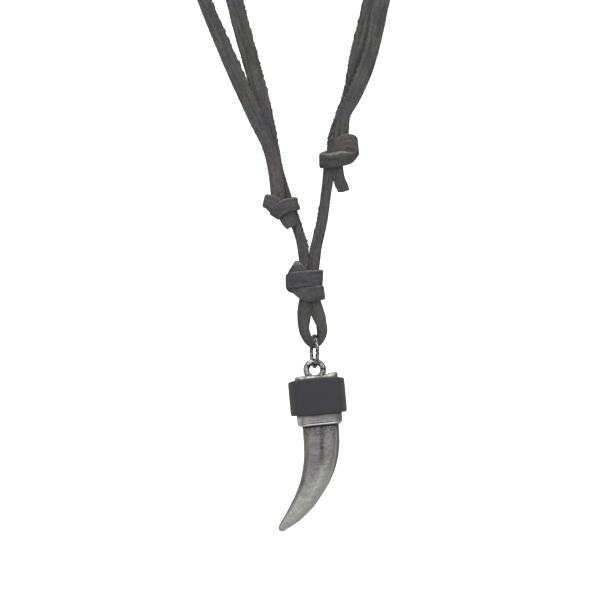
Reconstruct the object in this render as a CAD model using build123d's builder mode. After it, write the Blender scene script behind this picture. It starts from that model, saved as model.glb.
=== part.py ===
from build123d import *
import os
from collections import namedtuple
from math import cos, radians, sin

# Horn pendant on a knotted suede thong, millimetres, +Z up, seen from -Y.
# The origin is at the nape, on the skin side of the thong, midway between its two turns.

# Thong, cut from one flat strip of suede
lace_width = 4.0
lace_thickness = 2.0
lace_gap = 0.3          # between the two turns at the nape and between strands that lie together
knot_clearance = 0.12   # between a knot and the strands that it grips
front_y = -112.0        # depth of the hanging front below the nape

# Small loop that carries the ring
loop_turn = 11.0        # degrees that the loop and its ring are turned about the vertical
loop_seat_width = 3.1   # the strip is pinched narrower where the ring rides
loop_seat_thickness = 1.9
loop_corner = 0.45      # corner radius of the strip as a share of its thickness
loop_length = 14.2      # from the strands' ends in the knot to the middle of the strip at the bottom
loop_reach = 2.7        # how far its legs stand out from the ring

# Jump ring
ring_outer_diameter = 8.6
ring_wire = 0.95
ring_slack = 0.8        # between the ring and the strip that it hangs on

# Bail eye
eye_inner_radius = 1.45
eye_wire = 1.25
eye_play = 0.12         # running play between the ring's wire and the eye
eye_sink = 0.4          # how far the eye's hole reaches below the cap's top

# Cap under the eye, with the collar that shows below the band
cap_width = 10.8
cap_depth = 7.6
cap_height = 12.5
cap_corner = 2.4
cap_side = 0.1          # middle of the cap, sideways from the eye
cap_edge = 0.4

# Leather band round the cap
band_wall = 3.0
band_gap = 0.1
band_seat = 1.5         # depth of the groove in the cap that the band lies in
band_height = 8.5
band_top_drop = 1.4     # below the cap's top

# Horn
horn_length = 25.7
horn_sweep = 12.2       # sideways reach of the tip
horn_width = 8.75
horn_depth = 7.4
horn_root = 1.0         # length of horn inside the cap
hang_lean = 5.2         # degrees that the one-sided pendant leans as it hangs

# Route of the thong: middle of the strip, and the way its flat face looks in plan
# (0 to the front, 90 to the right, 180 to the back)
Row = namedtuple("Row", "x y z facing")

nape_rise = (lace_width + lace_gap) / 2
nape_y = lace_thickness / 2
riser_half = (lace_thickness + lace_gap) / 2
loop_x = 0.1
loop_leg_top = -197.0
riser_x = -1.3          # midway between the two risers where they leave the loop knot

first_route = [
    Row(riser_x - riser_half, front_y, loop_leg_top, -90),
    Row(riser_x - riser_half, front_y, -193.8, -90),
    Row(riser_x - riser_half - 0.1, front_y, -190.5, -90),
    Row(-3.0, front_y, -187.0, -88),
    Row(-3.8, front_y + 0.2, -183.0, -82),
    Row(-5.4, front_y + 0.7, -178.6, -52),
    Row(-7.6, front_y + 1.15, -174.0, -12),
    Row(-8.9, front_y + 1.25, -169.0, 0),
    Row(-10.5, front_y + 1.25, -162.0, 0),
    Row(-13.0, front_y + 1.25, -150.5, 0),
    Row(-15.6, front_y + 1.2, -141.0, 0),
    Row(-19.85, front_y + 1.2, -125.0, -4),
    Row(-25.8, front_y + 3.8, -106.0, -12),
    Row(-34.0, front_y + 10.5, -85.0, -28),
    Row(-44.0, front_y + 24.0, -62.0, -52),
    Row(-52.5, front_y + 43.5, -41.0, -74),
    Row(-56.5, front_y + 66.0, -23.5, -95),
    Row(-52.0, front_y + 88.5, -10.0, -120),
    Row(-38.0, front_y + 105.5, -1.5, -146),
    Row(-20.0, nape_y - 1.9, nape_rise - 0.7, -165),
    Row(0.0, nape_y, nape_rise, -180),
    Row(20.0, nape_y - 1.9, nape_rise - 0.7, -195),
    Row(38.0, front_y + 105.5, -1.5, -214),
    Row(52.0, front_y + 88.5, -10.0, -240),
    Row(56.5, front_y + 66.0, -23.5, -262),
    Row(52.0, front_y + 43.5, -42.0, -266),
    Row(42.5, front_y + 24.0, -63.0, -268),
    Row(30.5, front_y + 10.5, -85.5, -268),
    Row(20.8, front_y + 3.6, -106.0, -270),
    Row(13.75, front_y + 0.6, -125.0, -274),
    Row(11.6, front_y + 0.9, -134.0, -282),
    Row(10.4, front_y + 1.3, -141.0, -300),
    Row(9.4, front_y + 1.55, -148.0, -334),
    Row(7.1, front_y + 1.5, -154.5, -354),
    Row(5.7, front_y + 2.0, -161.2, -360),
]

second_route = [
    Row(riser_x + riser_half, front_y, loop_leg_top, 90),
    Row(riser_x + riser_half, front_y, -193.8, 90),
    Row(riser_x + riser_half + 0.1, front_y, -190.5, 90),
    Row(0.6, front_y, -187.0, 90),
    Row(1.25, front_y, -184.5, 90),
    Row(2.1, front_y, -179.7, 90),
    Row(3.4, front_y, -172.0, 90),
    Row(4.2, front_y - 0.3, -166.5, 88),
    Row(5.0, front_y - 0.8, -162.6, 58),
    Row(5.9, front_y - 1.2, -159.2, 22),
    Row(7.2, front_y - 1.3, -154.0, 6),
    Row(10.2, front_y - 1.3, -149.0, 6),
    Row(13.0, front_y - 1.1, -142.0, 6),
    Row(15.3, front_y - 0.7, -133.0, 4),
    Row(17.0, front_y - 0.3, -125.0, 4),
    Row(24.6, front_y + 2.4, -108.5, 14),
    Row(34.5, front_y + 8.6, -89.5, 30),
    Row(46.5, front_y + 21.5, -67.5, 52),
    Row(55.8, front_y + 41.5, -46.5, 76),
    Row(59.6, front_y + 65.5, -27.6, 96),
    Row(54.0, front_y + 90.5, -14.0, 121),
    Row(39.0, front_y + 107.0, -5.8, 146),
    Row(20.0, nape_y - 1.8, -nape_rise - 0.7, 165),
    Row(0.0, nape_y, -nape_rise, 180),
    Row(-20.0, nape_y - 1.8, -nape_rise - 0.7, 195),
    Row(-39.0, front_y + 107.0, -5.8, 214),
    Row(-54.0, front_y + 90.5, -14.0, 239),
    Row(-59.6, front_y + 65.5, -27.6, 264),
    Row(-56.6, front_y + 41.5, -46.0, 286),
    Row(-49.0, front_y + 20.5, -68.0, 310),
    Row(-40.0, front_y + 7.6, -92.0, 332),
    Row(-32.6, front_y + 1.2, -111.0, 344),
    Row(-27.4, front_y - 1.0, -125.0, 340),
    Row(-20.3, front_y - 1.25, -142.0, 352),
    Row(-14.3, front_y - 1.25, -155.0, 360),
    Row(-10.6, front_y - 1.25, -162.5, 360),
    Row(-9.2, front_y - 1.25, -169.0, 360),
    Row(-8.9, front_y - 1.25, -175.5, 360),
]


def strap(route, grow=0.0):
    """The thong lofted through its route, made larger all round by grow."""
    middles = [Vector(row.x, row.y, row.z) for row in route]
    with BuildPart() as piece:
        for number, row in enumerate(route):
            before = middles[max(number - 1, 0)]
            after = middles[min(number + 1, len(route) - 1)]
            along = (after - before).normalized()
            face = Vector(sin(radians(row.facing)), -cos(radians(row.facing)), 0)
            across = face.cross(along)
            with BuildSketch(Plane(middles[number], x_dir=across, z_dir=along)):
                Rectangle(lace_width + 2 * grow, lace_thickness + 2 * grow)
        loft()
    return piece.part


with BuildPart() as first_strand:
    add(strap(first_route))

with BuildPart() as second_strand:
    add(strap(second_route))

# Small loop: the strip bends round in one upright plane, turned by loop_turn
loop_right = Vector(cos(radians(loop_turn)), sin(radians(loop_turn)), 0)
loop_back = Vector(-sin(radians(loop_turn)), cos(radians(loop_turn)), 0)
loop_middle = Vector(loop_x, front_y, 0)

# side is a share of loop_reach, measured from the ring; down is a share of loop_length;
# seat is 1 where the strip is pinched by the ring
left_leg = (riser_x - riser_half - loop_x) / loop_reach
right_leg = (riser_x + riser_half - loop_x) / loop_reach
LoopRow = namedtuple("LoopRow", "side down seat")
loop_rows = [
    LoopRow(left_leg, 0.0, 0.0),
    LoopRow(left_leg, 0.11, 0.0),
    LoopRow(-0.96, 0.32, 0.0),
    LoopRow(-1.0, 0.56, 0.0),
    LoopRow(-0.93, 0.775, 0.35),
    LoopRow(-0.59, 0.937, 0.8),
    LoopRow(0.0, 1.0, 1.0),
    LoopRow(0.52, 0.937, 0.8),
    LoopRow(0.76, 0.775, 0.35),
    LoopRow(0.70, 0.56, 0.0),
    LoopRow(0.30, 0.32, 0.0),
    LoopRow(right_leg, 0.11, 0.0),
    LoopRow(right_leg, 0.0, 0.0),
]
loop_points = [
    loop_middle + loop_right * loop_reach * row.side + Vector(0, 0, loop_leg_top - loop_length * row.down)
    for row in loop_rows
]

with BuildPart() as pendant_loop:
    for number, row in enumerate(loop_rows):
        before = loop_points[max(number - 1, 0)]
        after = loop_points[min(number + 1, len(loop_rows) - 1)]
        width = lace_width + (loop_seat_width - lace_width) * row.seat
        thickness = lace_thickness + (loop_seat_thickness - lace_thickness) * row.seat
        with BuildSketch(Plane(loop_points[number], x_dir=loop_back, z_dir=after - before)):
            RectangleRounded(width, thickness, loop_corner * thickness)
    loft()

# Knots. Each is wraps and lobes of the thong round the strands, with the strands' own passages cut through.
# A wrap is as tall as the lace is wide, give or take, and stands out before and behind the strands by over.
Wrap = namedtuple("Wrap", "x z lean width height over")
wrap_corner = 1.2
wrap_edge = 0.6


def wrap(turn):
    """One turn of the thong round the strands: a rounded block whose axis leans sideways by lean degrees."""
    middle = Vector(turn.x, front_y, turn.z)
    axis = Vector(-sin(radians(turn.lean)), 0, cos(radians(turn.lean)))
    with BuildPart() as piece:
        with BuildSketch(Plane(middle - axis * turn.height / 2, x_dir=(0, 1, 0), z_dir=axis)):
            RectangleRounded(lace_width + 2 * turn.over, turn.width, wrap_corner)
        extrude(amount=turn.height)
        fillet(piece.faces().filter_by(Plane(middle, z_dir=axis)).edges(), wrap_edge)
    return piece.part


loop_knot_turns = [
    Wrap(-2.45, -195.0, 2, 9.1, lace_width + 0.3, 2.1),
    Wrap(-0.75, -198.6, 9, 6.7, lace_width - 0.5, 2.0),
    Wrap(-4.3, -192.9, 32, 2.9, lace_width, 1.0),
]
left_knot_turns = [
    Wrap(-7.6, -177.4, 27, 7.6, lace_width, 2.0),
    Wrap(-10.5, -176.3, -8, 4.2, lace_width + 0.4, 1.3),
    Wrap(-6.7, -179.8, 28, 3.4, lace_width, 0.2),
]
right_knot_turns = [
    Wrap(4.9, -165.0, 4, 7.2, lace_width + 0.4, 2.1),
    Wrap(8.1, -161.9, 28, 4.9, lace_width + 1.0, 1.5),
]

# In the loop knot the two risers run straight down together, and the legs of the small loop part below them
pair_depth = lace_width + 2 * knot_clearance
pair_width = 2 * (riser_half + knot_clearance) + lace_thickness
pair_height = 9         # passage of the pair, up through the knot's lobe
legs_height = 5         # passage of the legs, down through the lower wrap
legs_spread = 0.7       # how far the right leg has moved out at the bottom of the knot

with BuildPart() as loop_knot:
    for turn in loop_knot_turns:
        add(wrap(turn))
    with BuildSketch(Plane.XY.offset(loop_leg_top)):
        with Locations((riser_x, front_y)):
            Rectangle(pair_width, pair_depth)
    extrude(amount=pair_height, mode=Mode.SUBTRACT)
    with BuildSketch(Plane(loop_middle + Vector(0, 0, loop_leg_top - legs_height), x_dir=loop_right)):
        with Locations((riser_x - loop_x + legs_spread / 2, 0)):
            Rectangle(pair_width + legs_spread, pair_depth)
    extrude(amount=legs_height, mode=Mode.SUBTRACT)

with BuildPart() as left_slide_knot:
    for turn in left_knot_turns:
        add(wrap(turn))
    add(strap(first_route[3:11], knot_clearance), mode=Mode.SUBTRACT)
    add(strap(second_route[-6:], knot_clearance), mode=Mode.SUBTRACT)

with BuildPart() as right_slide_knot:
    for turn in right_knot_turns:
        add(wrap(turn))
    add(strap(second_route[4:13], knot_clearance), mode=Mode.SUBTRACT)
    add(strap(first_route[-7:], knot_clearance), mode=Mode.SUBTRACT)

# Cut end of the thong under the right slide knot
tail_route = [
    Row(6.35, front_y - 0.4, -167.4, 84),
    Row(6.4, front_y - 0.5, -170.0, 80),
    Row(6.9, front_y - 0.6, -171.5, 74),
    Row(7.7, front_y - 0.7, -172.9, 70),
]

with BuildPart() as knot_tail:
    add(strap(tail_route))

# Jump ring, upright in the plane that the small loop is turned to
ring_radius = (ring_outer_diameter - ring_wire) / 2
ring_drop = ring_radius - ring_wire / 2 - ring_slack - loop_seat_thickness / 2
ring_middle = Vector(loop_x, front_y, loop_leg_top - loop_length - ring_drop)
ring_bottom = ring_middle - Vector(0, 0, ring_radius)

with BuildPart(Plane(ring_middle, x_dir=loop_back, z_dir=loop_right)) as jump_ring:
    Torus(ring_radius, ring_wire / 2)

# Pendant, first made upright with the ring's lowest wire at its origin
eye_radius = eye_inner_radius + eye_wire / 2
eye_drop = eye_inner_radius - ring_wire / 2 - eye_play
cap_top = eye_sink - eye_drop - eye_inner_radius
collar_bottom = cap_top - cap_height
band_bottom = cap_top - band_top_drop - band_height

# Middle of each section as shares of horn_sweep and horn_length, its lean off the vertical in degrees,
# and its width and depth as shares of the horn's. It is flattened at the root and round at the tip.
HornRow = namedtuple("HornRow", "side down lean width depth")
horn_rows = [
    HornRow(0.0, 0.0, 0, 1.0, 1.0),
    HornRow(0.008, 0.155, 3, 0.99, 1.0),
    HornRow(0.050, 0.31, 11, 0.935, 0.97),
    HornRow(0.150, 0.47, 20, 0.83, 0.91),
    HornRow(0.308, 0.625, 29, 0.695, 0.81),
    HornRow(0.508, 0.765, 37, 0.575, 0.68),
    HornRow(0.745, 0.885, 44, 0.405, 0.49),
    HornRow(0.940, 0.965, 49, 0.235, 0.285),
    HornRow(0.995, 0.990, 50, 0.17, 0.206),
    HornRow(1.020, 1.0, 50, 0.06, 0.073),
]

with BuildPart() as casting:
    with BuildSketch(Plane.XY.offset(collar_bottom)):
        with Locations((cap_side, 0)):
            RectangleRounded(cap_width, cap_depth, cap_corner)
    extrude(amount=cap_height)
    fillet(casting.faces().filter_by(Axis.Z).edges(), cap_edge)
    with BuildSketch(Plane.XY.offset(band_bottom)):
        with Locations((cap_side, 0)):
            RectangleRounded(cap_width + 2 * cap_edge, cap_depth + 2 * cap_edge, cap_corner)
            RectangleRounded(
                cap_width - 2 * band_seat, cap_depth - 2 * band_seat, cap_corner - band_seat, mode=Mode.SUBTRACT
            )
    extrude(amount=band_height, mode=Mode.SUBTRACT)
    with Locations((0, 0, -eye_drop)):
        Torus(eye_radius, eye_wire / 2, rotation=(90, 0, 0))
    root = horn_rows[0]._replace(down=-horn_root / horn_length)
    for row in [root] + horn_rows:
        middle = Vector(-horn_sweep * row.side, 0, collar_bottom - horn_length * row.down)
        lean = radians(row.lean)
        plane = Plane(middle, x_dir=(cos(lean), 0, -sin(lean)), z_dir=(-sin(lean), 0, -cos(lean)))
        with BuildSketch(plane):
            Ellipse(horn_width * row.width / 2, horn_depth * row.depth / 2)
    loft()

with BuildPart() as band:
    inside = band_gap - band_seat
    outside = inside + band_wall
    with BuildSketch(Plane.XY.offset(band_bottom + band_gap)):
        with Locations((cap_side, 0)):
            RectangleRounded(cap_width + 2 * outside, cap_depth + 2 * outside, cap_corner + outside)
            RectangleRounded(
                cap_width + 2 * inside, cap_depth + 2 * inside, cap_corner + inside, mode=Mode.SUBTRACT
            )
    extrude(amount=band_height - 2 * band_gap)

hang = Location(ring_bottom, (0, -hang_lean, 0))

with BuildPart() as horn_pendant:
    with Locations(hang):
        add(casting.part)

with BuildPart() as leather_band:
    with Locations(hang):
        add(band.part)

pieces = {
    "first_strand": first_strand,
    "second_strand": second_strand,
    "pendant_loop": pendant_loop,
    "loop_knot": loop_knot,
    "left_slide_knot": left_slide_knot,
    "right_slide_knot": right_slide_knot,
    "knot_tail": knot_tail,
    "jump_ring": jump_ring,
    "horn_pendant": horn_pendant,
    "leather_band": leather_band,
}

os.makedirs("parts", exist_ok=True)
for name, piece in pieces.items():
    piece.part.label = name
    export_step(piece.part, f"parts/{name}.step")
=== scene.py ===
import math
from collections import namedtuple

import bpy
import numpy as np
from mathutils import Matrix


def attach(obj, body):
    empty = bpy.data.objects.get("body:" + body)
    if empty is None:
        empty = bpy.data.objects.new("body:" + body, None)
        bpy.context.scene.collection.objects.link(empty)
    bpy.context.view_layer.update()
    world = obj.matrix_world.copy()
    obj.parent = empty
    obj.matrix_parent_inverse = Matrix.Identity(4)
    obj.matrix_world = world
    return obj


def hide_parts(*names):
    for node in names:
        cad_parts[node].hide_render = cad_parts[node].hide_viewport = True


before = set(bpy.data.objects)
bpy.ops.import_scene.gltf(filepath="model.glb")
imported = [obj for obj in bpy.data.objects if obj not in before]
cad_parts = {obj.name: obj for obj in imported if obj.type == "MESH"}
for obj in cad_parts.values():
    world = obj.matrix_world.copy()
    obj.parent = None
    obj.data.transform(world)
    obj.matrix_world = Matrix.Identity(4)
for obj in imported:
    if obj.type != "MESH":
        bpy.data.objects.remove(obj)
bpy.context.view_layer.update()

# Studio. The necklace hangs in the air as on a neck, with its pendant to the front (-Y), over a pale floor
# that rises into a pale backdrop. A long lens stands straight in front of the pendant, as in the photograph,
# where 600 pixels are 150 mm.
mm = 0.001
front_y = -112 * mm
view_centre = (-3.5 * mm, -200 * mm)
view_width = 150 * mm
camera_distance = 1.1
camera_reach = 20.0
sensor = 36.0
floor_z = -0.40
floor_size = 14.0
backdrop_height = 5.0
backdrop_sweep = 2.5     # the radius of the bend between floor and backdrop
backdrop_grey = (0.4, 0.4, 0.4)
backdrop_white = (1.0, 1.0, 1.0)
backdrop_in_metal = (0.10, 0.10, 0.10)
top_light, front_light, side_light, back_light, dim_light = 2.1, 1.62, 0.35, 0.9, 0.03

scene = bpy.context.scene
scene.view_settings.view_transform = "Standard"


def deselect():
    """Leaves nothing selected, in object mode."""
    if bpy.context.object and bpy.context.object.mode != "OBJECT":
        bpy.ops.object.mode_set(mode="OBJECT")
    bpy.ops.object.select_all(action="DESELECT")


def pick_edges(piece, wanted):
    """Goes into edit mode with only those edges selected whose two ends, as vectors, pass the test."""
    bpy.context.tool_settings.mesh_select_mode = (False, True, False)
    bpy.ops.object.mode_set(mode="EDIT")
    bpy.ops.mesh.select_all(action="DESELECT")
    bpy.ops.object.mode_set(mode="OBJECT")
    ends = [vertex.co for vertex in piece.data.vertices]
    for edge in piece.data.edges:
        edge.select = wanted(ends[edge.vertices[0]], ends[edge.vertices[1]])
    bpy.ops.object.mode_set(mode="EDIT")


bpy.ops.object.camera_add(
    location=(view_centre[0], front_y - camera_distance, view_centre[1]), rotation=(math.pi / 2, 0, 0)
)
scene.camera = bpy.context.object
scene.camera.data.sensor_width = sensor
scene.camera.data.lens = sensor * camera_distance / view_width
scene.camera.data.clip_end = camera_reach


class Value:
    """The output of a shader node. Sums on it add Math nodes."""

    def __init__(self, finish, socket):
        self.finish, self.socket = finish, socket

    def maths(self, operation, *terms):
        return self.finish.node("Math", {"operation": operation}, dict(enumerate(terms)))

    def __add__(self, other):
        return self.maths("ADD", self, other)

    def __sub__(self, other):
        return self.maths("SUBTRACT", self, other)

    def __rsub__(self, other):
        return self.maths("SUBTRACT", other, self)

    def __mul__(self, other):
        return self.maths("MULTIPLY", self, other)

    def __abs__(self):
        return self.maths("ABSOLUTE", self)

    __radd__ = __add__
    __rmul__ = __mul__


class Shading:
    """The nodes of a material or of the sky."""

    def __init__(self, tree):
        self.nodes, self.links = tree.nodes, tree.links

    def plug(self, socket, value):
        if isinstance(value, Value):
            self.links.new(value.socket, socket)
        elif hasattr(socket.default_value, "__len__") and len(socket.default_value) == 4:
            socket.default_value = (*value, 1.0)
        else:
            socket.default_value = value

    def node(self, kind, settings=None, inputs=None, output=0):
        """A node of that kind: its settings first, then the values or links of its sockets."""
        made = self.nodes.new("ShaderNode" + kind)
        for setting, value in (settings or {}).items():
            setattr(made, setting, value)
        for socket, value in (inputs or {}).items():
            self.plug(made.inputs[socket], value)
        return Value(self, made.outputs[output])

    def axis(self, vector, name):
        return self.node("SeparateXYZ", {}, {"Vector": vector}, output=name)

    def noise(self, where, scale, detail=4.0, roughness=0.6):
        inputs = {"Vector": where, "Scale": scale, "Detail": detail, "Roughness": roughness}
        return self.node("TexNoise", {}, inputs)

    def between(self, value, low, high):
        """0 where value is at low, 1 where it is at high."""
        inputs = {"Value": value, "From Min": low, "From Max": high}
        return self.node("MapRange", {"interpolation_type": "SMOOTHSTEP"}, inputs)

    def mix(self, share, first, second, blend="MIX"):
        """One colour over another. A Mix node's colours are its sockets 6 and 7 and its output 2."""
        inputs = {0: share, 6: first, 7: second}
        return self.node("Mix", {"data_type": "RGBA", "blend_type": blend}, inputs, output=2)

    def place(self, scale=(1.0, 1.0, 1.0), turn=(0.0, 0.0, 0.0)):
        """Object coordinates, stretched and turned."""
        where = self.node("TexCoord", output="Object")
        return self.node("Mapping", {}, {"Vector": where, "Scale": scale, "Rotation": turn})

    def bump(self, height, distance, normal=None):
        inputs = {"Height": height, "Distance": distance}
        if normal:
            inputs["Normal"] = normal
        return self.node("Bump", {}, inputs)


class Finish(Shading):
    """A material with one Principled shader."""

    def __init__(self, name, **levels):
        self.material = bpy.data.materials.new(name)
        self.material.use_nodes = True
        super().__init__(self.material.node_tree)
        self.shader = self.nodes["Principled BSDF"]
        for level, value in levels.items():
            self.set(level.replace("_", " ").title(), value)

    def set(self, level, value):
        self.plug(self.shader.inputs[level], value)


backdrop_paint = Finish("backdrop_paint", base_color=backdrop_grey, roughness=0.9, emission_strength=1.0)
backdrop_paint.set("Specular IOR Level", 0.0)
seen = backdrop_paint.node("LightPath", output="Is Camera Ray")
backdrop_paint.set("Emission Color", backdrop_paint.mix(seen, backdrop_in_metal, backdrop_white))
deselect()
bpy.ops.mesh.primitive_plane_add(size=floor_size, location=(0, 0, floor_z))
floor = bpy.context.object
floor.name = "studio_floor"
pick_edges(floor, lambda one, other: min(one.y, other.y) > 0)
bpy.ops.mesh.extrude_region_move(TRANSFORM_OT_translate={"value": (0, 0, backdrop_height)})
bpy.ops.object.mode_set(mode="OBJECT")
sweep_up = floor.modifiers.new("sweep_up", "BEVEL")
sweep_up.width = backdrop_sweep
sweep_up.segments = 24
bpy.ops.object.modifier_apply(modifier="sweep_up")
bpy.ops.object.shade_smooth()
floor.data.materials.append(backdrop_paint.material)

world = bpy.data.worlds.new("studio")
world.use_nodes = True
scene.world = world
sky = Shading(world.node_tree)
seen = sky.node("LightPath", output="Is Camera Ray")
direction = sky.node("TexCoord", output="Generated")
forward = sky.axis(direction, "Y")
overhead = sky.between(sky.axis(direction, "Z"), 0.45, 1.0)
before_it = sky.between(forward, -0.4, -0.97)
beside_it = sky.between(abs(sky.axis(direction, "X")), 0.55, 0.95)
behind_it = sky.between(forward, 0.6, 0.98)
soft_light = dim_light + top_light * overhead + front_light * before_it
soft_light = soft_light + side_light * beside_it + back_light * behind_it
sky.plug(sky.nodes["Background"].inputs["Strength"], soft_light * (1 - seen) + seen)
sky.plug(sky.nodes["Background"].inputs["Color"], backdrop_white)

# Suede lace. One flat strip of split hide, 4 mm wide and 2 mm thick, napped on both faces, with cut edges
# that have come up in fuzz. Every length of it is a grid that is rolled into a flat tube and laid along its
# route.
lace_width = 4.0
lace_thick = 2.0
section_sides = 28
section_square = 5.5     # how square the section's corners are
nap_step = 0.3           # between two sections along a strand
Drift = namedtuple("Drift", "every most")
width_drift = Drift(9.0, 0.15)
thick_drift = Drift(6.0, 0.10)
fray_every = 1.6
fray_depth = 0.04        # of the cleaner cut edge
fine_fray = 0.6          # the share of it that changes with every section
fray_corner = 6          # keeps the fray off the flat faces
tuft_depth = 0.38        # of the other edge, where the knife tore it
tuft_length = 0.6
tuft_sunk = 0.35         # the share of a tuft that lies below the cut
torn_edge_from = -166.0  # below this height the tufts are on the inner face
torn_edge_fade = 8.0
tuft_corner = 4          # keeps them off the cut edges there
tuft_tilt, tuft_level = 0.8, 0.6  # how much taller they are there on the torn side


def flow(rows, step):
    """Smooth samples, step apart, through a table of rows whose first three columns are a place."""
    rows = np.array(rows, float)
    marks = np.concatenate([[0], np.cumsum(np.linalg.norm(np.diff(rows[:, :3], axis=0), axis=1))])
    slopes = np.gradient(rows, marks, axis=0)
    wanted = np.linspace(0, marks[-1], max(int(marks[-1] / step), 4))
    span = np.clip(np.searchsorted(marks, wanted, side="right") - 1, 0, len(marks) - 2)
    gap = (marks[span + 1] - marks[span])[:, None]
    s = (wanted - marks[span])[:, None] / gap
    return (
        (2 * s**3 - 3 * s**2 + 1) * rows[span]
        + (s**3 - 2 * s**2 + s) * gap * slopes[span]
        + (3 * s**2 - 2 * s**3) * rows[span + 1]
        + (s**3 - s**2) * gap * slopes[span + 1]
    )


def unit(vectors):
    return vectors / np.linalg.norm(vectors, axis=1, keepdims=True)


def square_round(turn, square):
    """The place on a section with rounded corners, -1 to 1 across and out, for each turn round it."""
    cosine, sine = np.cos(turn), np.sin(turn)
    side = np.sign(cosine) * np.abs(cosine) ** (2 / square)
    return side, np.sign(sine) * np.abs(sine) ** (2 / square)


def wander(count, spacing, amount, seed):
    """A smooth random series of count values, with a new turn every spacing values."""
    turns = np.random.RandomState(seed).uniform(-amount, amount, int(count / spacing) + 3)
    where = np.arange(count) / spacing
    share = where - np.floor(where)
    share = (1 - np.cos(share * np.pi)) / 2
    left = where.astype(int)
    return turns[left] * (1 - share) + turns[left + 1] * share


def rolled_grid(name, rows, sides):
    """A grid that is to become a tube, with each vertex's row along it and turn round it."""
    deselect()
    bpy.ops.mesh.primitive_grid_add(x_subdivisions=sides, y_subdivisions=rows - 1, size=1)
    piece = bpy.context.object
    piece.name = name
    corners = np.zeros(len(piece.data.vertices) * 3)
    piece.data.vertices.foreach_get("co", corners)
    corners = corners.reshape(-1, 3) + 0.5
    return piece, np.round(corners[:, 1] * (rows - 1)).astype(int), 2 * np.pi * corners[:, 0]


def close_tube(piece, places, lay):
    """Sets the tube's vertices, keeps where each lies on the strip, and closes its seam and its ends."""
    piece.data.vertices.foreach_set("co", places.ravel())
    piece.data.attributes.new("lay", "FLOAT_VECTOR", "POINT").data.foreach_set("vector", lay.ravel())
    bpy.ops.object.mode_set(mode="EDIT")
    bpy.ops.mesh.select_all(action="SELECT")
    bpy.ops.mesh.remove_doubles(threshold=1e-7)
    bpy.ops.mesh.fill_holes(sides=0)
    bpy.ops.mesh.normals_make_consistent(inside=False)
    bpy.ops.object.mode_set(mode="OBJECT")
    bpy.ops.object.shade_smooth_by_angle(angle=math.radians(50))


def lace_frames(rows, step):
    """Places, directions, sizes and lengths along a lace, from rows of place, face direction and size."""
    samples = flow(rows, step)
    places = samples[:, :3]
    along = unit(np.gradient(places, axis=0))
    face = samples[:, 3:6]
    face = unit(face - along * np.sum(face * along, axis=1, keepdims=True))
    across = np.cross(face, along)
    length = np.concatenate([[0], np.cumsum(np.linalg.norm(np.diff(places, axis=0), axis=1))])
    return places, face, across, samples[:, 6], samples[:, 7], length


def lay_lace(name, rows, seed, step=nap_step, fray=fray_depth, square=section_square, torn=0):
    """A length of suede lace along a table of rows, in millimetres, made in metres.

    torn is its ragged side, -1 or 1. The tufts stand on that cut edge above the knots, and on the inner face
    below them, where the strands are seen edge-on.
    """
    places, face, across, width, thick, length = lace_frames(rows, step)
    count = len(places)
    piece, row, turn = rolled_grid(name, count, section_sides)
    width = width + wander(count, width_drift.every / step, width_drift.most, seed)
    thick = thick + wander(count, thick_drift.every / step, thick_drift.most, seed + 1)
    side, out = square_round(turn, square)
    right = wander(count, fray_every / step, fray, seed + 2) + wander(count, 1, fray * fine_fray, seed + 3)
    left = wander(count, fray_every / step, fray, seed + 4) + wander(count, 1, fray * fine_fray, seed + 5)
    tufts = np.abs(wander(count, tuft_length / step, tuft_depth, seed + 6)) - tuft_depth * tuft_sunk
    tear = tufts[row] * abs(torn)
    above_knots = np.clip((places[row, 2] - torn_edge_from) / torn_edge_fade, 0, 1)
    ragged = np.where(side > 0, right[row], -left[row])
    ragged = ragged + np.where(side * torn > 0, torn * tear * above_knots, 0)
    reach = side * width[row] / 2 + ragged * np.abs(side) ** fray_corner
    inner_face = np.clip(-out, 0, 1) ** tuft_corner * np.clip(side * torn * tuft_tilt + tuft_level, 0, 1)
    rise = out * thick[row] / 2 - tear * (1 - above_knots) * inner_face
    points = places[row] + across[row] * reach[:, None] + face[row] * rise[:, None]
    lay = np.column_stack([length[row] * mm, side, out])
    close_tube(piece, points * mm, lay)
    return piece


nap_per_mm = 26
nap_longest = 0.65
nap_shortest = 0.35      # as a share, before it is squared
nap_on_edges = 0.6       # the share of the fibres that stand on the cut edges
nap_edge_spread = 0.25
nap_scatter = 0.1
nap_lean = 0.55
nap_rooted = 0.08
nap_thick = 0.038


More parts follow.
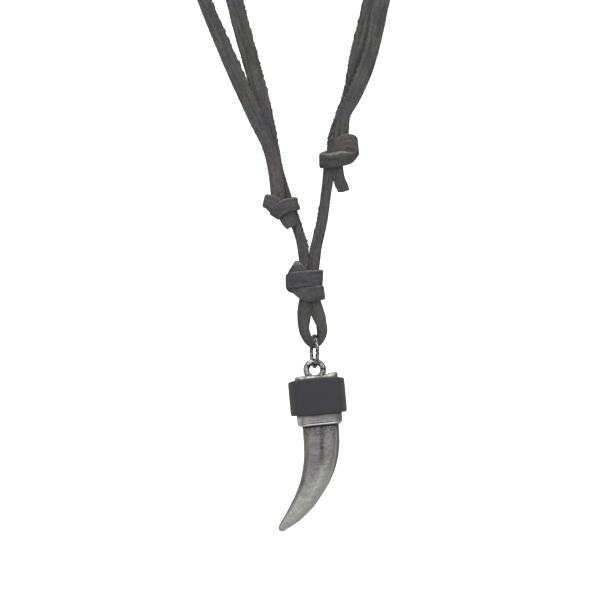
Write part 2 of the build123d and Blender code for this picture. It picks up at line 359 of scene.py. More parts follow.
def nap_fibres(name, rows, seed):
    """Short loose fibres that stand up from a lace, as one mesh of thin three-sided spikes."""
    places, face, across, width, thick, _ = lace_frames(rows, nap_step)
    random = np.random.RandomState(seed)
    count = int(len(places) * nap_step * nap_per_mm)
    pick = random.choice(len(places), count)
    turn = random.uniform(0, 2 * np.pi, count)
    on_edge = random.rand(count) < nap_on_edges
    edge_turn = np.round(turn / np.pi) * np.pi + random.normal(0, nap_edge_spread, count)
    turn = np.where(on_edge, edge_turn, turn)
    side, out = square_round(turn, section_square)
    face, across = face[pick], across[pick]
    root = (
        places[pick]
        + across * (side * width[pick] / 2)[:, None]
        + face * (out * thick[pick] / 2)[:, None]
        + random.normal(0, nap_scatter, (count, 3)) * np.cross(face, across)
    )
    stand = unit(across * np.cos(turn)[:, None] + face * np.sin(turn)[:, None])
    lean = unit(stand + random.normal(0, nap_lean, (count, 3)))
    reach = random.uniform(nap_shortest, 1.0, count) ** 2 * nap_longest
    first = unit(np.cross(lean, random.normal(0, 1, (count, 3))))
    second = np.cross(lean, first)
    foot = root - lean * nap_rooted
    corners = [foot + (first * x + second * y) * nap_thick for x, y in [(1, 0), (-0.5, 0.87), (-0.5, -0.87)]]
    points = np.stack([*corners, root + lean * reach[:, None]], axis=1).reshape(-1, 3) * mm
    base = np.arange(count)[:, None] * 4
    faces = np.concatenate([base + [0, 1, 3], base + [1, 2, 3], base + [2, 0, 3], base + [0, 2, 1]])
    mesh = bpy.data.meshes.new(name)
    mesh.from_pydata(points.tolist(), [], faces.tolist())
    piece = bpy.data.objects.new(name, mesh)
    scene.collection.objects.link(piece)
    return piece


suede_dark = (0.084, 0.081, 0.088)
suede_olive = (0.098, 0.097, 0.090)
suede_rust = (0.108, 0.088, 0.087)
suede_cut = (0.092, 0.089, 0.083)
suede_painted_top_light = (0.205, 0.200, 0.184)

suede = Finish("suede", roughness=0.95)
suede.set("Specular IOR Level", 0.12)
lay = suede.node("Attribute", {"attribute_name": "lay"}, output="Vector")
streaks = suede.noise(suede.node("Mapping", {}, {"Vector": lay, "Scale": (140.0, 3.4, 3.4)}), 1.0, detail=5.0)
patches = suede.noise(suede.place(), 130.0, detail=3.0)
rusty = suede.noise(suede.place(turn=(0.4, 0.2, 0.1)), 70.0, detail=2.0)
nap = suede.noise(suede.place(), 1500.0, detail=5.0, roughness=0.7)
pile = suede.noise(suede.place(turn=(0.2, 0.5, 0.3)), 900.0, detail=3.0, roughness=0.8)
raised = suede.between(nap, 0.3, 0.7)
colour = suede.mix(suede.between(patches, 0.38, 0.66), suede_dark, suede_olive)
colour = suede.mix(suede.between(rusty, 0.52, 0.70), colour, suede_rust)
cut = suede.between(abs(suede.axis(lay, "Y")), 0.86, 0.97)
colour = suede.mix(cut * raised * 0.8, colour, suede_cut)
# painted top light: faces that look up are lighter, as though lit from above, most where the nap is raised
facing_up = suede.between(suede.axis(suede.node("NewGeometry", output="Normal"), "Z"), 0.28, 0.75)
colour = suede.mix(facing_up * (0.35 + raised * 0.65), colour, suede_painted_top_light)
tone = 0.52 + suede.between(streaks, 0.28, 0.72) * 0.56
tone = tone + suede.between(nap, 0.35, 0.65) * 0.26 + suede.between(pile, 0.35, 0.65) * 0.16
shade = suede.node("CombineColor", {}, {"Red": tone, "Green": tone, "Blue": tone})
suede.set("Base Color", suede.mix(1.0, colour, shade, blend="MULTIPLY"))
suede.set("Normal", suede.bump(streaks, 0.18 * mm, normal=suede.bump(nap + pile, 0.10 * mm)))


def hang_on(piece, finish, slot, body, *nodes):
    """Gives a finished piece its material and its body, and hides the CAD nodes that it stands for."""
    piece.data.materials.append(finish.material)
    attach(piece, body)
    if nodes:
        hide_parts(*nodes)

# Strands. The two halves of the suede lace leave the loop knot edge-on, pass the slide knots and go round the
# neck in two turns, one over the other. Each end is tied round the other half. facing is where the flat face
# looks in plan (0 to the front, 90 to the right, 180 to the back) and tip is how far it looks up.
Row = namedtuple("Row", "x y z facing width thick tip", defaults=(lace_width, lace_thick, 0))
front = front_y / mm
nape_rise = 2.15
nape_y = 1.0

first_route = [
    Row(-2.2, front, -200.0, -90, 4.0, 1.6),
    Row(-2.3, front, -193.8, -90, 4.0, 2.0),
    Row(-2.5, front, -190.5, -90, 4.0, 2.5),
    Row(-2.75, front, -187.0, -88, 4.0, 2.75),
    Row(-3.75, front + 0.2, -183.2, -82, 4.0, 2.3),
    Row(-4.6, front + 0.5, -180.9, -74, 3.8, 2.1),
    Row(-6.0, front + 0.6, -178.6, -22, 3.7),
    Row(-7.6, front + 0.7, -174.0, -8, 3.7),
    Row(-9.1, front + 0.5, -169.0, 0, 3.7),
    Row(-10.6, front + 0.5, -162.0, 0, 3.8),
    Row(-13.0, front + 0.8, -150.5, 0, 4.1),
    Row(-15.6, front + 1.2, -141.0, 0, 4.2),
    Row(-17.95, front + 1.2, -132.5, -2, 4.3),
    Row(-19.9, front + 1.2, -125.0, -4, 4.2),
    Row(-25.8, front + 3.8, -106.0, -12),
    Row(-34.0, front + 10.5, -85.0, -28),
    Row(-44.0, front + 24.0, -62.0, -52),
    Row(-52.5, front + 43.5, -41.0, -74),
    Row(-56.5, front + 66.0, -23.5, -95),
    Row(-52.0, front + 88.5, -10.0, -120),
    Row(-38.0, front + 105.5, -1.5, -146),
    Row(-20.0, nape_y - 1.9, nape_rise - 0.7, -165),
    Row(0.0, nape_y, nape_rise, -180),
    Row(20.0, nape_y - 1.9, nape_rise - 0.7, -195),
    Row(38.0, front + 105.5, -1.5, -214),
    Row(52.0, front + 88.5, -10.0, -240),
    Row(56.5, front + 66.0, -23.5, -262),
    Row(52.0, front + 43.5, -42.0, -266),
    Row(42.5, front + 24.0, -63.0, -268),
    Row(30.5, front + 10.5, -85.5, -268),
    Row(20.8, front + 3.6, -106.0, -270),
    Row(14.4, front + 0.1, -125.0, -342),
    Row(12.15, front - 0.1, -134.0, -346),
    Row(10.55, front + 0.3, -141.0, -346),
    Row(9.2, front + 1.55, -148.0, -334, 3.6),
    Row(6.9, front + 1.5, -154.5, -354, 3.7),
    Row(5.7, front + 1.8, -158.2, -358, 3.8),
    Row(5.1, front + 2.0, -161.2, -360, 3.6),
    Row(4.9, front + 2.1, -164.5, -360, 3.3),
]
second_route = [
    Row(-0.4, front, -200.0, 90, 4.0, 1.8),
    Row(-0.2, front, -193.8, 90, 4.1, 2.4),
    Row(0.05, front, -190.5, 90, 4.1, 2.9),
    Row(0.45, front, -187.0, 90, 4.0, 2.9),
    Row(1.2, front, -184.0, 90, 4.0, 2.7),
    Row(2.1, front, -179.7, 90, 4.0, 2.7),
    Row(3.2, front, -172.0, 90, 4.0, 2.7),
    Row(4.05, front - 0.3, -166.5, 88, 4.0, 2.9),
    Row(5.2, front - 0.8, -162.6, 58, 4.0, 2.2),
    Row(6.5, front - 1.2, -159.2, 22, 4.0),
    Row(7.3, front - 1.3, -154.0, 6, 3.5),
    Row(9.9, front - 1.3, -149.0, 6, 3.6),
    Row(12.9, front - 1.1, -142.0, 6, 3.9),
    Row(15.3, front - 0.7, -133.0, 4),
    Row(17.0, front - 0.3, -125.0, 4),
    Row(24.6, front + 2.4, -108.5, 14),
    Row(34.5, front + 8.6, -89.5, 30),
    Row(46.5, front + 21.5, -67.5, 52),
    Row(55.8, front + 41.5, -46.5, 76),
    Row(59.6, front + 65.5, -27.6, 96),
    Row(54.0, front + 90.5, -14.0, 121),
    Row(39.0, front + 107.0, -5.8, 146),
    Row(20.0, nape_y - 1.8, -nape_rise - 0.7, 165),
    Row(0.0, nape_y, -nape_rise, 180),
    Row(-20.0, nape_y - 1.8, -nape_rise - 0.7, 195),
    Row(-39.0, front + 107.0, -5.8, 214),
    Row(-54.0, front + 90.5, -14.0, 239),
    Row(-59.6, front + 65.5, -27.6, 264),
    Row(-56.6, front + 41.5, -46.0, 286),
    Row(-49.0, front + 20.5, -68.0, 310, 3.8),
    Row(-40.0, front + 7.6, -92.0, 332, 3.6),
    Row(-32.6, front + 1.2, -111.0, 344, 3.4),
    Row(-27.4, front - 1.0, -125.0, 340, 3.4),
    Row(-20.2, front - 1.25, -142.0, 352, 3.9),
    Row(-14.35, front - 1.25, -155.0, 360, 3.7),
    Row(-11.0, front - 1.25, -162.5, 360, 3.4),
    Row(-9.7, front - 1.25, -168.0, 360, 3.5),
    Row(-9.0, front - 1.25, -174.0, 360, 3.5),
    Row(-8.6, front - 1.2, -178.0, 360, 3.4),
]


def strand_rows(route):
    """Rows of a lace from a route, with each face direction as a vector."""
    rows = []
    for row in route:
        facing, tip = math.radians(row.facing), math.radians(row.tip)
        face = (math.sin(facing) * math.cos(tip), -math.cos(facing) * math.cos(tip), math.sin(tip))
        rows.append((row.x, row.y, row.z, *face, row.width, row.thick))
    return rows


Strand = namedtuple("Strand", "node route torn seed nap_seed")
for strand in [
    Strand("first_strand", first_route, -1, 20, 60),
    Strand("second_strand", second_route, 1, 30, 61),
]:
    rows = strand_rows(strand.route)
    lace = lay_lace(strand.node + "_lace", rows, strand.seed, torn=strand.torn)
    hang_on(lace, suede, "suede", "thong", strand.node)
    hang_on(nap_fibres(strand.node + "_nap", rows, strand.nap_seed), suede, "suede", "thong")

# Small loop. The middle of the suede lace, bent round in one upright plane that is turned a little to the
# left, so that its edge and a strip of its outer face show. toe turns a leg's face further. The jump ring
# rides in its bottom, where the lace is pinched.
middle_x = 0.1
loop_turn = math.radians(11)
loop_leg_top = -197.0
loop_length = 14.2
loop_reach = 2.7
loop_step = 0.25
loop_fray = 0.05
LoopRow = namedtuple("LoopRow", "side down out width thick toe")
loop_rows = [
    LoopRow(-0.80, -0.10, 0, 4.0, 1.7, 0),
    LoopRow(-0.85, 0.11, 0, 4.0, 2.1, 2),
    LoopRow(-0.93, 0.28, 0, 4.0, 2.6, 4),
    LoopRow(-0.95, 0.42, 0, 4.0, 3.0, 6),
    LoopRow(-0.99, 0.56, 0, 4.0, 2.65, 7),
    LoopRow(-1.0, 0.70, -6, 3.8, 2.1, 7),
    LoopRow(-0.80, 0.835, -25, 3.5, 2.1, 4),
    LoopRow(-0.45, 0.95, -55, 3.2, 1.9, 0),
    LoopRow(0.0, 1.0, -90, 3.1, 1.9, 0),
    LoopRow(0.38, 0.95, -125, 3.1, 1.8, 0),
    LoopRow(0.66, 0.845, -155, 3.5, 2.1, 0),
    LoopRow(0.71, 0.70, -178, 3.8, 2.55, -4),
    LoopRow(0.54, 0.56, -186, 4.0, 2.9, -18),
    LoopRow(0.28, 0.42, -184, 4.0, 3.1, -20),
    LoopRow(0.12, 0.28, -180, 4.0, 2.8, -16),
    LoopRow(-0.02, 0.11, -180, 4.0, 2.7, -8),
    LoopRow(-0.12, -0.10, -180, 4.0, 2.2, 0),
]
loop_route = []
for row in loop_rows:
    side = loop_reach * row.side
    out = math.radians(row.out)
    look = loop_turn + math.radians(row.toe)
    loop_route.append(
        (
            middle_x + side * math.cos(loop_turn),
            front + side * math.sin(loop_turn),
            loop_leg_top - loop_length * row.down,
            -math.cos(out) * math.cos(look),
            -math.cos(out) * math.sin(look),
            math.sin(out),
            row.width,
            row.thick,
        )
    )
small_loop = lay_lace("pendant_loop_lace", loop_route, seed=90, step=loop_step, fray=loop_fray)
hang_on(small_loop, suede, "suede", "thong", "pendant_loop")

# Loop knot. The suede lace is taken round both risers twice, above the small loop, and drawn tight: a tall
# upper turn, a lower turn that it runs down to behind, and a lobe that stands up at the left and folds over
# to the back.
loop_wraps = [
    Row(0.4, front + 2.9, -194.9, 180, 4.0, 1.5),
    Row(1.35, front + 1.4, -194.5, 100, 4.0, 1.4),
    Row(1.4, front - 1.4, -194.4, 75, 4.0, 1.4, -5),
    Row(0.3, front - 3.0, -194.5, 20, 4.1, 1.7, -9),
    Row(-2.4, front - 3.4, -194.7, 0, 4.1, 1.9, -10),
    Row(-4.7, front - 3.3, -195.0, -10, 4.1, 1.9, -9),
    Row(-6.0, front - 2.1, -195.3, -60, 3.9, 1.9),
    Row(-6.2, front, -195.5, -90, 3.8, 1.8),
    Row(-5.4, front + 2.2, -196.2, -135, 3.8, 1.8),
    Row(-3.4, front + 3.1, -197.1, -180, 3.8, 1.8),
    Row(-0.8, front + 3.1, -197.9, -180, 3.6, 1.8),
    Row(1.3, front + 2.2, -198.2, -225, 3.5, 1.8),
    Row(1.8, front, -198.2, -270, 3.5, 1.7, 8),
    Row(1.4, front - 2.1, -198.2, -300, 3.7, 1.7),
    Row(0.0, front - 2.9, -198.35, -350, 3.8, 1.8, -9),
    Row(-1.7, front - 2.8, -198.55, -364, 3.8, 1.8, -9),
    Row(-3.1, front - 2.8, -198.1, -372, 3.3, 1.6, -5),
    Row(-4.3, front - 2.5, -196.7, -380, 3.2, 1.5),
    Row(-4.7, front - 2.1, -195.3, -385, 3.2, 1.4),
]
loop_lobe = [
    Row(-3.8, front - 1.9, -195.4, 0, 5.2, 1.1),
    Row(-3.95, front - 2.7, -193.7, 0, 5.5, 1.4),
    Row(-4.1, front - 3.1, -192.4, 0, 4.3, 1.5),
    Row(-4.2, front - 2.8, -191.3, 0, 2.3, 1.5, 30),
    Row(-4.3, front - 1.8, -190.9, 0, 1.2, 1.4, 80),
    Row(-4.35, front - 0.7, -191.6, -180, 1.4, 1.4, 30),
    Row(-4.5, front - 0.2, -192.8, -180, 1.9, 1.5),
    Row(-4.7, front + 0.1, -194.5, -180, 2.1, 1.5),
]
knot_step = 0.25
knot_fray = 0.06


def tie(node, laces):
    """Lays what shows of one knot. laces holds the end of each length's name, its route and its seed."""
    for end, route, seed in laces:
        lace = lay_lace(node + end, strand_rows(route), seed, step=knot_step, fray=knot_fray)
        hang_on(lace, suede, "suede", "thong", node)


tie("loop_knot", [("_turns", loop_wraps, 100), ("_lobe", loop_lobe, 110)])

# Left slide knot. The suede end of the second strand is tied round the first and drawn tight: one broad turn
# that curves down to the left across both, a wrap round the upper left that dives under it and a stub that
# comes out below.
left_turn = [
    Row(-5.8, front + 3.6, -175.8, 180, 3.4, 1.6),
    Row(-4.9, front + 2.4, -175.95, 130, 3.3, 1.7),
    Row(-4.72, front + 0.2, -176.05, 90, 3.3, 1.8, 26),
    Row(-5.3, front - 2.6, -176.15, 35, 3.4, 1.9, 5),
    Row(-7.0, front - 3.5, -176.5, 3, 3.4, 1.9, -8),
    Row(-8.5, front - 3.5, -177.4, -8, 3.3, 1.9, -12),
    Row(-9.3, front - 2.9, -178.25, -25, 3.1, 1.9, -25),
    Row(-9.6, front - 1.6, -178.6, -90, 3.0, 1.8, -56),
    Row(-9.1, front - 0.2, -178.2, 180, 3.0, 1.8, -30),
    Row(-8.3, front + 1.5, -177.4, 180, 3.2, 1.7),
]
left_lobe = [
    Row(-9.4, front + 1.8, -175.9, 180, 3.3, 1.7),
    Row(-11.0, front + 1.1, -175.5, -140, 3.3, 1.7),
    Row(-11.75, front - 0.3, -175.4, -90, 3.4, 1.8, 13),
    Row(-11.2, front - 1.9, -175.5, -35, 3.7, 1.8, 5),
    Row(-10.1, front - 2.6, -176.15, 0, 4.3, 1.8),
    Row(-9.0, front - 2.6, -177.4, 8, 3.8, 1.7),
    Row(-8.2, front - 2.3, -178.3, 8, 3.0, 1.5),
]
left_stub = [
    Row(-7.1, front - 1.9, -177.8, 0, 4.0, 1.8),
    Row(-6.4, front - 1.9, -179.8, 0, 4.0, 1.8),
    Row(-5.9, front - 1.8, -181.0, 0, 3.5, 1.8),
    Row(-5.55, front - 1.7, -181.7, 0, 2.9, 1.6),
]
tie("left_slide_knot", [("_turn", left_turn, 120), ("_lobe", left_lobe, 130), ("_stub", left_stub, 140)])

# Right slide knot. The same tie in the other end of the suede lace, higher up: a level turn whose top edge
# leans back, under a lobe at the upper right.
right_turn = [
    Row(4.0, front + 3.9, -164.2, 180, 3.6, 1.7),
    Row(2.5, front + 2.6, -164.8, -130, 3.6, 1.8),
    Row(2.15, front, -165.2, -90, 3.6, 1.8),
    Row(2.7, front - 3.1, -165.2, -40, 3.6, 1.9, -12),
    Row(4.6, front - 4.3, -165.1, 0, 3.7, 2.0, -28),
    Row(6.8, front - 4.2, -164.8, 5, 3.7, 2.0, -28),
    Row(8.7, front - 3.1, -164.5, 25, 3.0, 1.9, -22),
    Row(9.8, front - 1.3, -163.6, 60, 2.4, 1.8, -8),
    Row(10.0, front + 0.4, -162.6, 90, 3.4, 1.8),
    Row(9.0, front + 2.6, -162.1, 150, 3.6, 1.8),
    Row(6.4, front + 3.9, -162.8, 180, 3.6, 1.7),
]
right_lobe = [
    Row(5.0, front - 2.6, -164.6, 0, 3.8, 1.5),
    Row(6.2, front - 2.9, -162.9, 0, 4.0, 1.7),
    Row(7.8, front - 2.8, -161.0, 8, 4.6, 1.8),
    Row(9.3, front - 2.3, -161.1, 35, 4.8, 1.8, 8),
    Row(10.2, front - 1.1, -161.8, 72, 4.6, 1.8, 8),
    Row(9.8, front + 1.2, -161.6, 130, 4.2, 1.8),
    Row(8.4, front + 2.1, -162.6, 180, 4.0, 1.7),
]
tie("right_slide_knot", [("_turn", right_turn, 150), ("_lobe", right_lobe, 160)])

# Knot tail. The last centimetre of the suede lace, cut square and left to hang edge-on out of the right slide
# knot, which holds it.
knot_tail = [
    Row(6.0, front - 0.3, -165.6, 88, 3.8, 2.4),
    Row(6.05, front - 0.5, -168.0, 84, 3.8, 2.6),
    Row(6.3, front - 0.5, -169.8, 76, 3.8, 2.5),
    Row(6.7, front - 0.6, -171.0, 69, 3.6, 2.4),
    Row(7.15, front - 0.6, -171.9, 65, 3.3, 2.2),
    Row(7.4, front - 0.7, -172.75, 64, 3.4, 2.2),
]
tie("knot_tail", [("_lace", knot_tail, 170)])

# Jump ring. Plain round steel wire, bent to a ring, its ends soldered and the joint filed flush. It hangs in
# the small loop and carries the pendant.
ring_z = -212.8
ring_radius = 3.825
ring_wire = 0.475
ring_segments = (160, 28)
steel_dark = (0.035, 0.035, 0.034)
steel_bright = (0.50, 0.50, 0.49)

steel = Finish("worn_steel", metallic=1.0)
scratches = steel.noise(steel.place(), 900.0, detail=5.0, roughness=0.7)
mottle = steel.noise(steel.place(), 1700.0, detail=3.0)
steel.set("Base Color", steel.mix(steel.between(mottle, 0.42, 0.60), steel_dark, steel_bright))
steel.set("Roughness", 0.22 + steel.between(scratches, 0.3, 0.7) * 0.25)
steel.set("Normal", steel.bump(scratches, 0.05 * mm))


def wire_ring(name, middle, radius, wire, segments, turned):
    """An upright ring of round wire, sizes in millimetres, turned about the vertical."""
    deselect()
    bpy.ops.mesh.primitive_torus_add(
        major_segments=segments[0],
        minor_segments=segments[1],
        major_radius=radius * mm,
        minor_radius=wire * mm,
        location=[value * mm for value in middle],
        rotation=(math.pi / 2, 0, turned),
    )
    ring = bpy.context.object
    ring.name = name
    bpy.ops.object.transform_apply(location=True, rotation=True, scale=True)
    bpy.ops.object.shade_smooth()
    return ring


ring_middle = (middle_x, front, ring_z)
ring_turn = math.pi / 2 + loop_turn
jump_ring = wire_ring("jump_ring_wire", ring_middle, ring_radius, ring_wire, ring_segments, ring_turn)
hang_on(jump_ring, steel, "ring_steel", "ring", "jump_ring")

# Horn pendant. One pewter casting, matt and dark in its hollows: a bail eye, a cap that the leather is
# wrapped round, a collar below it and a curved horn with shallow flutes that run out towards the tip.
pivot = (middle_x, front, -216.625)
hang_lean = math.radians(5.2)
cap_width, cap_depth, cap_corner = 10.8, 7.6, 2.4
cap_top, cap_bottom, collar_top, collar_bottom = -1.905, -3.6, -11.5, -14.405
cap_side = 0.1


def hang(x, y, z):
    """A place on the leaning pendant, from its place on the upright one."""
    return (
        pivot[0] + x * math.cos(hang_lean) - z * math.sin(hang_lean),
        pivot[1] + y,
        pivot[2] + x * math.sin(hang_lean) + z * math.cos(hang_lean),
    )


Block = namedtuple("Block", "name middle width depth top bottom corner edge")
blocks = [
    Block("cap", cap_side, cap_width, cap_depth, cap_top - 0.25, cap_bottom - 0.4, cap_corner, 0.8),
    Block("cap_lug", 4.35, 2.4, 5.0, cap_top + 0.05, cap_bottom, 0.6, 0.35),
    Block("core", cap_side, cap_width - 3.4, cap_depth - 3.4, cap_bottom + 0.5, collar_top - 0.5, 1.0, 0.2),
    Block("collar", cap_side, cap_width + 0.5, cap_depth + 0.2, collar_top, collar_bottom, cap_corner, 0.5),
    Block("bead", cap_side, cap_width, cap_depth + 0.8, -14.0, collar_bottom - 0.25, cap_corner, 0.25),
]


def cast_block(block):
    """An upright block of the casting with rounded corners and softened rims."""
    deselect()
    bpy.ops.mesh.primitive_cube_add(
        size=1,
        location=(block.middle * mm, 0, (block.top + block.bottom) / 2 * mm),
        scale=(block.width * mm, block.depth * mm, (block.top - block.bottom) * mm),
    )
    piece = bpy.context.object
    piece.name = block.name
    bpy.ops.object.transform_apply(location=True, rotation=True, scale=True)
    for share, segments, upright in [(block.corner, 10, True), (block.edge, 4, False)]:
        pick_edges(piece, lambda one, other: (abs(one.z - other.z) > 1e-6) == upright)
        bpy.ops.mesh.bevel(offset=share * mm, segments=segments, affect="EDGES")
        bpy.ops.object.mode_set(mode="OBJECT")
    return piece


parts = [cast_block(block) for block in blocks]

horn_length, horn_sweep, horn_width, horn_depth = 25.7, 12.2, 9.1, 7.5
HornRow = namedtuple("HornRow", "side down width depth flute")
horn_rows = [
    HornRow(-0.016, -0.03, 1.0, 1.0, 1.0),
    HornRow(-0.016, 0.0, 1.0, 1.0, 1.0),
    HornRow(-0.010, 0.155, 0.99, 1.0, 1.0),
    HornRow(0.032, 0.31, 0.94, 0.97, 0.9),
    HornRow(0.132, 0.47, 0.84, 0.91, 0.55),
    HornRow(0.298, 0.625, 0.70, 0.81, 0.2),
    HornRow(0.508, 0.765, 0.575, 0.68, 0.0),
    HornRow(0.745, 0.885, 0.405, 0.49, 0.0),
    HornRow(0.940, 0.965, 0.235, 0.285, 0.0),
    HornRow(0.995, 0.990, 0.17, 0.206, 0.0),
    HornRow(1.020, 1.0, 0.06, 0.073, 0.0),
]
Flute = namedtuple("Flute", "side spread deep")
flutes = [
    Flute(0.12, 0.13, 0.32),
    Flute(-0.45, 0.16, 0.10),
    Flute(0.86, 0.05, 0.22),
    Flute(-0.88, 0.05, 0.15),
]
horn_square = 3.2        # how square its section is
horn_sides = 144
horn_step = 0.15
cast_voxel = 0.15
cast_smoothing = 4

samples = flow(
    [
        (-horn_sweep * r.side, 0, collar_bottom - horn_length * r.down, r.width, r.depth, r.flute)
        for r in horn_rows
    ],
    horn_step,
)
horn, row, turn = rolled_grid("horn", len(samples), horn_sides)
along = unit(np.gradient(samples[:, :3], axis=0))
across = np.stack([-along[:, 2], 0 * along[:, 2], along[:, 0]], axis=1)
side, out = square_round(turn, horn_square)
sunk = sum(flute.deep * np.exp(-(((side - flute.side) / flute.spread) ** 2)) for flute in flutes)
rise = out * (samples[row, 4] * horn_depth / 2 - sunk * samples[row, 5] * np.abs(out) ** 0.5)
points = samples[row, :3] + across[row] * (side * samples[row, 3] * horn_width / 2)[:, None]
points[:, 1] -= rise
close_tube(horn, points * mm, points * mm)

deselect()
for part in [horn, *parts]:
    part.select_set(True)
bpy.context.view_layer.objects.active = horn
bpy.ops.object.join()
casting = bpy.context.object
casting.name = "horn_casting"
fuse = casting.modifiers.new("fuse", "REMESH")
fuse.mode = "VOXEL"
fuse.voxel_size = cast_voxel * mm
bpy.ops.object.modifier_apply(modifier="fuse")
even = casting.modifiers.new("even", "SMOOTH")
even.factor = 0.5
even.iterations = cast_smoothing
bpy.ops.object.modifier_apply(modifier="even")
for name, size, strength in [("cast_waves", 2.2, 0.16), ("cast_grain", 0.6, 0.07)]:
    clouds = bpy.data.textures.new(name, "CLOUDS")
    clouds.noise_scale = size * mm
    clouds.noise_depth = 2
    press = casting.modifiers.new(name, "DISPLACE")
    press.texture = clouds
    press.texture_coords = "LOCAL"
    press.strength = strength * mm
    press.mid_level = 0.5
    bpy.ops.object.modifier_apply(modifier=name)
casting.rotation_euler = (0, -hang_lean, 0)
casting.location = [value * mm for value in pivot]
bpy.ops.object.transform_apply(location=True, rotation=True, scale=True)
bpy.ops.object.shade_smooth()

patina_and_shade_reach = 1.6
pewter_dark = (0.215, 0.21, 0.205)
pewter_light = (0.315, 0.315, 0.295)
groove_x = 1.95
panel_x = 0.4
tip_start_z, tip_end_z = -243.0, -253.0
flank_x, flank_z = -2.6, -251.1
flank_across, flank_down = 0.94, 0.345
outline_x, outline_z, outline_bend = 5.95, -234.5, 18.0
rim_x, rim_z, rim_slope = -3.15, -231.4, 0.108

pewter = Finish("pewter", metallic=1.0)
# patina, and painted shade, darker wherever the casting is hollow or tucked in
patina_and_shade_settings = {"samples": 8, "only_local": False}
patina_and_shade = pewter.node("AmbientOcclusion", patina_and_shade_settings, {"Distance": patina_and_shade_reach * mm}, output="AO")
clouding = pewter.noise(pewter.place(scale=(1, 1, 0.35)), 420.0, detail=5.0, roughness=0.6)
speckle = pewter.noise(pewter.place(), 1900.0, detail=4.0, roughness=0.7)
where = pewter.node("TexCoord", output="Object")
across_horn = pewter.axis(where, "X")
height = pewter.axis(where, "Z")


def fade(value, low, high):
    """0 where a length on the casting is low, 1 where it is high, both in millimetres."""
    return pewter.between(value, low * mm, high * mm)


pitted = pewter.between(speckle, 0.44, 0.62)
# An edge runs from the flank to the tip: how far a place lies beyond it, square to it.
flank = (across_horn - flank_x * mm) * flank_across - (height - flank_z * mm) * flank_down
flank = fade(flank, -0.35, 0.45) * fade(height, -239, -245)
panel = fade(abs(across_horn - panel_x * mm), 1.3, 0.7) * fade(height, -246, -240)
groove = fade(abs(across_horn - groove_x * mm), 1.0, 0.1) * fade(height, -242.0, -238.5)
groove = groove * fade(height, -230.4, -231.0)
# the top of the cap: its rough crust, and a painted highlight on it
crust_and_highlight = fade(height, -221.0, -219.5)
below_collar = fade(height, -235.5, -231.5) * fade(height, -230.6, -231.6)
bent = height - outline_z * mm
from_outline = across_horn - outline_x * mm + bent * bent * outline_bend
on_horn = fade(height, -231.3, -231.9)
collar_end = fade(across_horn, -2.7, -3.7) * fade(height, -227.6, -228.2) * fade(height, -232.6, -232.0)
from_rim = height - rim_z * mm - (across_horn - rim_x * mm) * rim_slope
under_rim = fade(from_rim, -0.95, -0.55) * fade(from_rim, -0.25, -0.4)
layers = [
    # the tip, lighter, and a painted highlight along the edge that leads to it
    (fade(height, tip_start_z, tip_end_z) * 0.75, (0.55, 0.55, 0.515)),
    (flank * 0.7, (0.46, 0.46, 0.437)),
    # pits, painted shade on a panel down the middle, and the dark flute in it
    (pewter.between(speckle, 0.50, 0.72) * 0.55, (0.15, 0.145, 0.145)),
    (panel * 0.8, (0.22, 0.205, 0.215)),
    (groove * (0.55 + pitted * 0.42), (0.075, 0.062, 0.062)),
    # the rough top of the cap with a painted highlight on it, and painted shade under the collar, darkest in
    # the pits
    (crust_and_highlight * pewter.between(clouding, 0.42, 0.58) * 0.8, (0.62, 0.62, 0.58)),
    (below_collar * (0.2 + pitted * 0.75), (0.07, 0.07, 0.085)),
    # painted shade along the outer edge of the horn, with a painted highlight line inside it
    (fade(from_outline, -0.15, 0.0) * on_horn * 0.45, (0.12, 0.12, 0.12)),
    (fade(abs(from_outline + 0.4 * mm), 0.32, 0.08) * on_horn * 0.55, (0.56, 0.56, 0.53)),
    # a painted highlight on the collar's left end, a painted shadow under its rim and a painted highlight on
    # the rim
    (collar_end * 0.8, (0.78, 0.78, 0.74)),
    (under_rim, (0.03, 0.03, 0.035)),
    (fade(abs(from_rim), 0.24, 0.06) * 0.85, (0.72, 0.72, 0.70)),
    # dark patina in every hollow, which also paints the shade there
    (pewter.between(patina_and_shade, 0.95, 0.35), (0.05, 0.045, 0.047)),
]
tone = pewter.mix(pewter.between(clouding, 0.30, 0.70), pewter_dark, pewter_light)
for share, colour in layers:
    tone = pewter.mix(share, tone, colour)
pewter.set("Base Color", tone)
pewter.set("Roughness", 0.32 + pewter.between(speckle, 0.3, 0.7) * 0.16)
pewter.set("Normal", pewter.bump(clouding * crust_and_highlight, 0.5 * mm, normal=pewter.bump(speckle, 0.06 * mm)))
hang_on(casting, pewter, "pewter", "pendant", "horn_pendant")

eye_z = -0.85
eye_radius = 2.10
eye_wire = 0.76
eye_segments = (144, 32)
bail_eye = wire_ring("bail_eye", hang(0, 0, eye_z), eye_radius, eye_wire, eye_segments, 0)
hang_on(bail_eye, steel, "pewter", "pendant", "horn_pendant")

# Leather band. One strip of thick dark leather, taken twice round the cap and glued, so that its cut end
# shows at the back. It stands out from the cap and its edges are left raw.
band_thick = 1.42
band_inner_half = (4.86, 3.26)
band_square = 4.4        # how square the cap is, seen from above
band_top, band_arch, band_bottom = -2.82, 0.6, -11.82
band_arch_half = 6.3     # where the arched top edge is down by the whole of band_arch
band_turns = 1.97
band_count = 72          # places on its route to a turn
band_row_step = 0.3
band_fray = 0.03
band_edge_square = 9     # how square its cut edges are
band_step = 1.48         # from one turn out to the next
step_start, step_run = 0.955, 0.045  # where it climbs, in turns
hide_dark = (0.039, 0.040, 0.047)
hide_grey = (0.047, 0.047, 0.051)
hide_painted_sheen = (0.070, 0.072, 0.067)
hide_raw = (0.085, 0.080, 0.072)

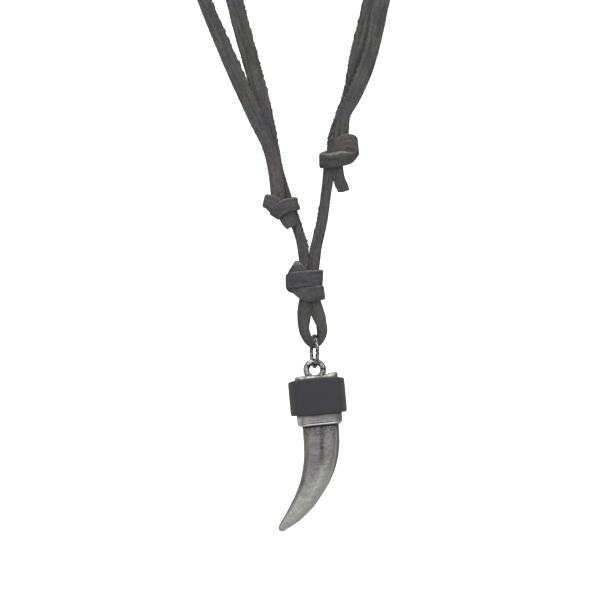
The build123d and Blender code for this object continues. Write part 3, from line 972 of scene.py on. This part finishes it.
band_rows = []
for number in range(int(band_count * band_turns)):
    turns = number / band_count
    angle = 2 * math.pi * turns + math.pi / 2
    step_up = min(max((turns - step_start) / step_run, 0), 1)
    away = band_step * step_up**2 * (3 - 2 * step_up)
    cosine, sine = math.cos(angle), math.sin(angle)
    x = (band_inner_half[0] + away) * math.copysign(abs(cosine) ** (2 / band_square), cosine)
    y = (band_inner_half[1] + away) * math.copysign(abs(sine) ** (2 / band_square), sine)
    top = band_top - band_arch * (abs(x) / band_arch_half) ** 3
    face = (
        math.copysign(abs(cosine) ** (2 - 2 / band_square), cosine) / band_inner_half[0],
        math.copysign(abs(sine) ** (2 - 2 / band_square), sine) / band_inner_half[1],
    )
    upright = (face[0] * math.cos(hang_lean), face[1], face[0] * math.sin(hang_lean))
    middle = hang(x + cap_side, y, (top + band_bottom) / 2)
    band_rows.append((*middle, *upright, top - band_bottom, band_thick))

band_leather = Finish("band_leather", roughness=0.72)
band_leather.set("Specular IOR Level", 0.35)
pores = band_leather.noise(band_leather.place(), 2600.0, detail=3.0)
scuffs = band_leather.noise(band_leather.place(scale=(1, 1, 2)), 260.0, detail=5.0, roughness=0.65)
lay = band_leather.node("Attribute", {"attribute_name": "lay"}, output="Vector")
raw = band_leather.between(abs(band_leather.axis(lay, "Y")), 0.93, 0.995)
hide = band_leather.mix(band_leather.between(scuffs, 0.35, 0.70), hide_dark, hide_grey)
# painted sheen: the band is lighter where its faces turn round the cap's corners, as leather seen at a
# grazing angle
corner = abs(band_leather.axis(band_leather.node("NewGeometry", output="Normal"), "X"))
painted_corner_sheen = band_leather.between(corner, 0.45, 0.95) * band_leather.between(corner, 1.0, 0.95)
hide = band_leather.mix(painted_corner_sheen, hide, hide_painted_sheen)
hide = band_leather.mix(raw * 0.8, hide, hide_raw)
band_leather.set("Base Color", hide)
band_leather.set("Roughness", 0.62 + band_leather.between(scuffs, 0.3, 0.7) * 0.2)
band_leather.set("Normal", band_leather.bump(pores, 0.05 * mm, band_leather.bump(scuffs, 0.12 * mm)))

band = lay_lace(
    "leather_band_strip", band_rows, seed=300, step=band_row_step, fray=band_fray, square=band_edge_square
)
hang_on(band, band_leather, "band_leather", "pendant", "leather_band")
